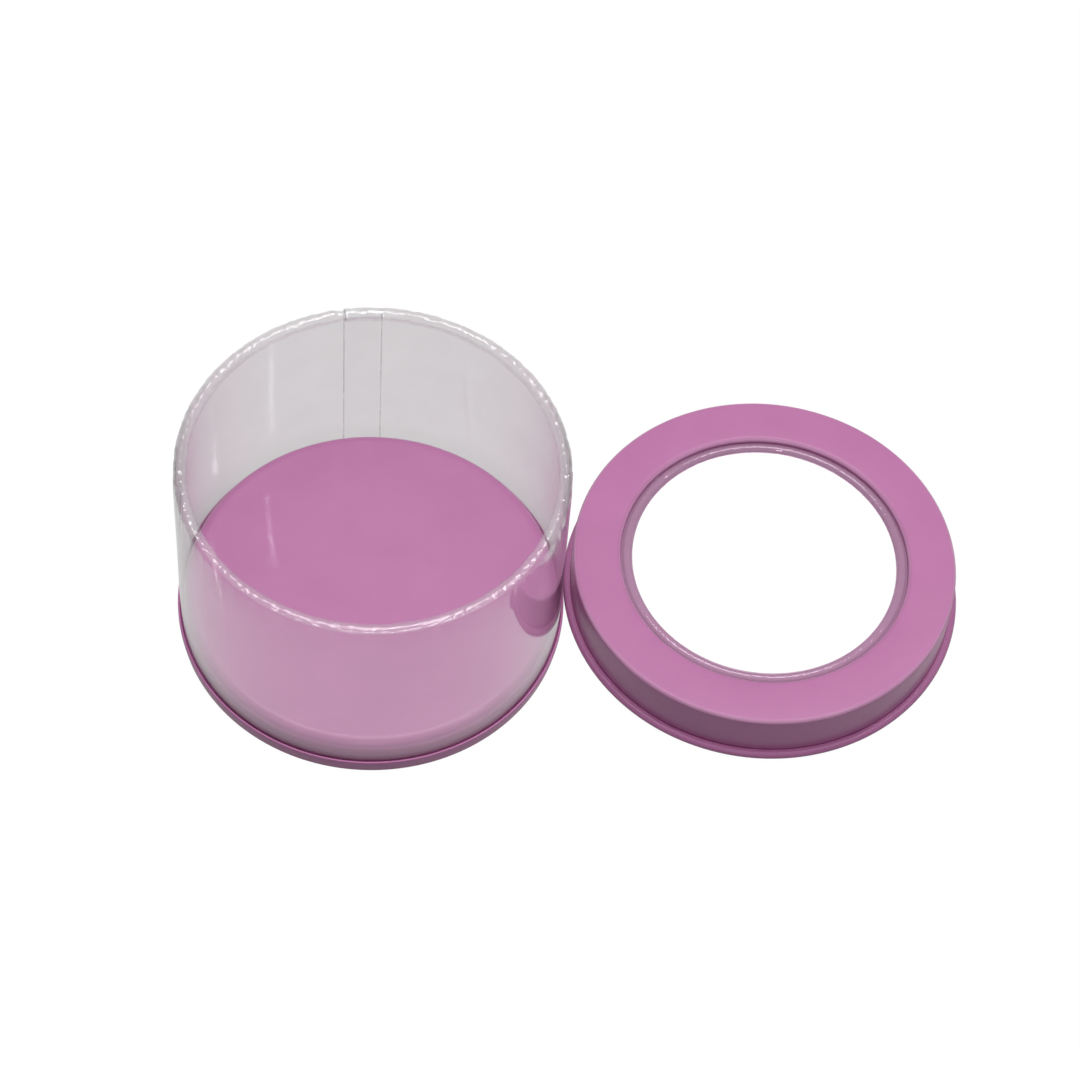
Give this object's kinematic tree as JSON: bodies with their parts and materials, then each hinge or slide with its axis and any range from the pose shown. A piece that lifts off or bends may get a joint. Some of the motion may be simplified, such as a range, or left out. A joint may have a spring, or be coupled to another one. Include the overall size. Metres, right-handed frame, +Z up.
{
  "type": "round clear-walled gift tin",
  "caption": "Round box with a clear rolled plastic wall crimped into a painted tinplate base, and a slip-over tin lid with a clear window lying beside it.",
  "frame": {"origin": "middle of the ground that the box and the lid cover, on the table", "axes": "+Z up along the box's axis, +X from the box towards the lid, +Y towards the wall's glued seam"},
  "size_m": [0.2032, 0.1032, 0.0645],
  "materials": {
    "pink_tin": "satin enamel on tinplate",
    "clear_sheet": "clear rigid vinyl sheet",
    "clear_glue": "clear set adhesive"
  },
  "bodies": {
    "box": {"clear_wall": "clear_sheet", "seam_adhesive": "clear_glue", "tin_base": "pink_tin"},
    "lid": {"tin_lid": "pink_tin", "lid_window": "clear_sheet", "window_adhesive": "clear_glue"}
  },
  "joints": [
    {"name": "lid_lift", "type": "slide", "parent": "box", "child": "lid", "axis": [0, 0, 1], "range_m": [0, 0.08]}
  ]
}
